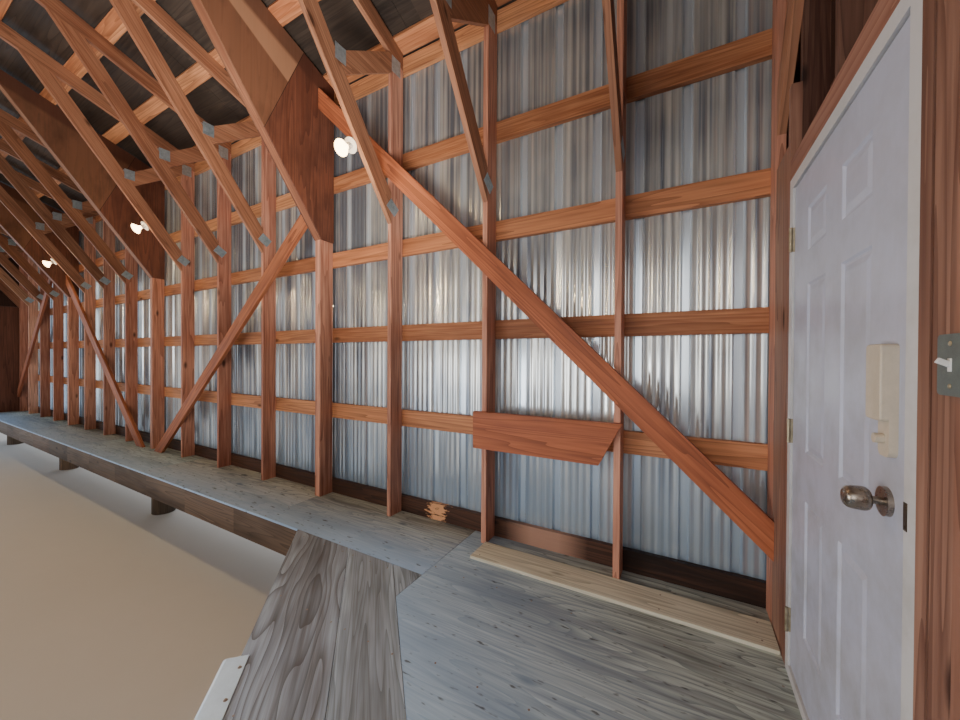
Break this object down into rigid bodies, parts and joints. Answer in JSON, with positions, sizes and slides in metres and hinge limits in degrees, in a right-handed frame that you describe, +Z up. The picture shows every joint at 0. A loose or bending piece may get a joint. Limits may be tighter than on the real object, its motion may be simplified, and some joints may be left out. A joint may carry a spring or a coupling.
{
  "type": "boathouse",
  "caption": "Post-frame boathouse standing over water: ribbed metal skin on timber frames with knee braces, plywood deck round a boat slip, panelled door on the land end.",
  "frame": {"origin": "middle of the building's outline in plan, at the level of the piles' feet", "axes": "+X along the building towards the land end with the door, +Y across it towards the right-hand side wall as one enters by the door, +Z up"},
  "size_m": [14.9206, 6.296, 5.8452],
  "materials": {
    "pile_timber": "dark treated round timber, wet at the foot",
    "beam_timber": "rough treated lumber",
    "weathered_plywood": "grey-beige weathered plywood with open grain",
    "new_plank_timber": "newer pale plank",
    "guard_strip": "pale blue-white edge strip",
    "dark_sill_timber": "dark rotten timber",
    "framing_timber": "red-brown aged softwood",
    "girt_timber": "orange-brown softwood",
    "haunch_plywood": "red-brown stained plywood",
    "galvanised_sheet": "ribbed galvanised sheet",
    "roof_skin": "ribbed galvanised sheet on dark brown plywood",
    "wall_skin": "ribbed galvanised sheet on red-brown plywood",
    "door_frame_paint": "white paint",
    "door_paint": "bluish white paint, slightly soiled",
    "lock_plastic": "beige plastic housing",
    "aged_metal": "aged, dull metal",
    "switch_metal": "dark grey-green box",
    "lamp_glass": "pale lamp bodies with lit bulbs"
  },
  "bodies": {
    "building": {"corner_beams": "beam_timber", "corner_planks": "weathered_plywood", "door_boards": "framing_timber", "door_frame": "door_frame_paint", "door_header": "framing_timber", "door_wall_left": "wall_skin", "door_wall_right": "wall_skin", "door_wall_top": "wall_skin", "end_deck": "weathered_plywood", "end_deck_beams": "beam_timber", "flood_lamps": "lamp_glass", "frame_hinges": "aged_metal", "gable_studs": "framing_timber", "girts_left": "girt_timber", "girts_right": "girt_timber", "haunch_plywood": "haunch_plywood", "heavy_posts": "framing_timber", "heel_webs": "framing_timber", "knees": "framing_timber", "new_plank": "new_plank_timber", "piles": "pile_timber", "posts": "framing_timber", "purlins": "girt_timber", "rack_board": "girt_timber", "rafters_left": "framing_timber", "rafters_right": "framing_timber", "ridge_cap": "galvanised_sheet", "roof_left": "roof_skin", "roof_right": "roof_skin", "sills": "dark_sill_timber", "slip_guard": "guard_strip", "switch_box": "switch_metal", "walkway_beams": "beam_timber", "walkways": "weathered_plywood", "wall_braces": "framing_timber", "wall_sheets_left": "galvanised_sheet", "wall_sheets_right": "galvanised_sheet", "water_gable": "wall_skin", "water_header": "framing_timber", "water_wings": "wall_skin"},
    "door": {"door_leaf": "door_paint", "door_knobs": "aged_metal", "door_lock": "lock_plastic", "door_hinges": "aged_metal"}
  },
  "joints": [
    {"name": "door_swing", "type": "hinge", "parent": "building", "child": "door", "pos_m": [7.1448, 2.5305, 0.65], "axis": [0, 0, -1], "range_deg": [0, 90]}
  ]
}
